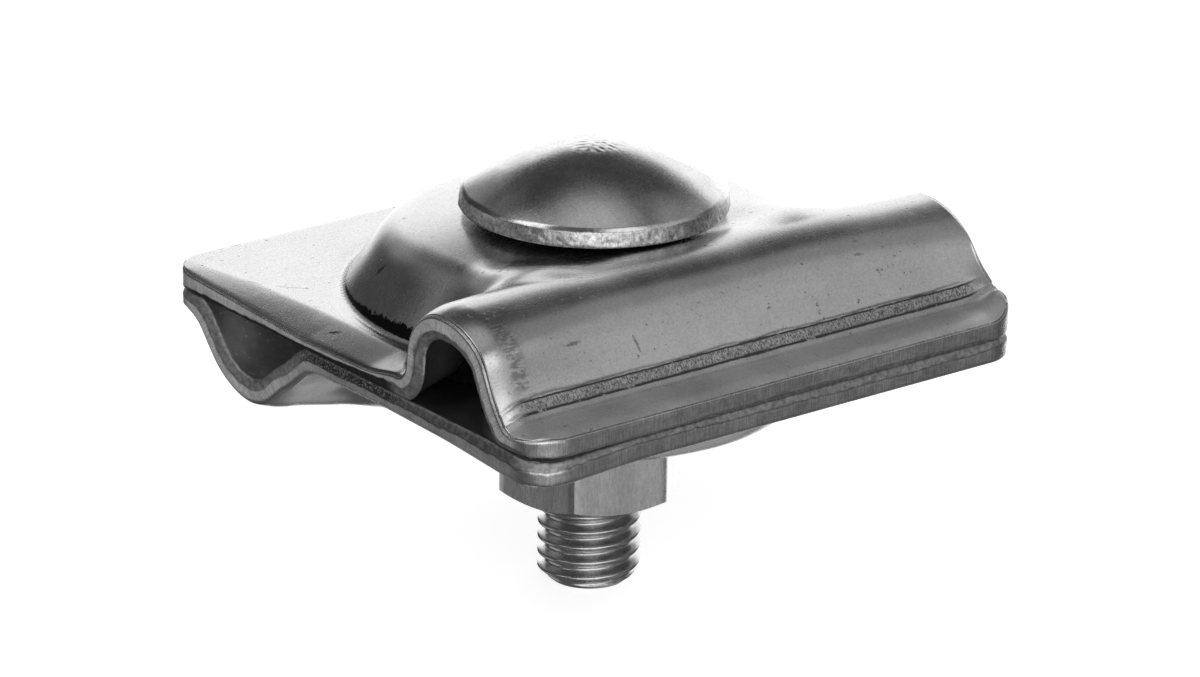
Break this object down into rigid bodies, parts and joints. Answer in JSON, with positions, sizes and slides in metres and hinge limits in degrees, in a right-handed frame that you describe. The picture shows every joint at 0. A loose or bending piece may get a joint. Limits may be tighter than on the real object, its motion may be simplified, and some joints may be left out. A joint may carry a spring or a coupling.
{
  "type": "cross connector",
  "caption": "Cross connector of pressed steel plates on one mushroom-head bolt, gripping round conductors side by side or crossed.",
  "frame": {"origin": "on the bolt axis in the plane where the two plates meet", "axes": "+Z along the bolt towards its head, Y along both conductor channels at rest, +X towards the upper plate's channel"},
  "size_m": [0.0466, 0.0466, 0.0352],
  "materials": {
    "plate_steel": "bright rolled stainless sheet, finely scratched, darker sheared edges",
    "bolt_steel": "cold-headed stainless steel with a rough torn rim, bright rolled thread",
    "nut_steel": "bright stainless steel, finely scratched flats"
  },
  "bodies": {
    "upper_assembly": {"upper_plate": "plate_steel", "carriage_bolt": "bolt_steel"},
    "nut": {"hex_nut": "nut_steel"},
    "lower": {"lower_plate": "plate_steel"}
  },
  "joints": [
    {"name": "nut_travel", "type": "slide", "parent": "upper_assembly", "child": "nut", "axis": [0, 0, -1], "range_m": [0, 0.0065]},
    {"name": "plate_swivel", "type": "hinge", "parent": "nut", "child": "lower", "pos_m": [0, 0, 0], "axis": [0, 0, 1], "continuous": true}
  ]
}
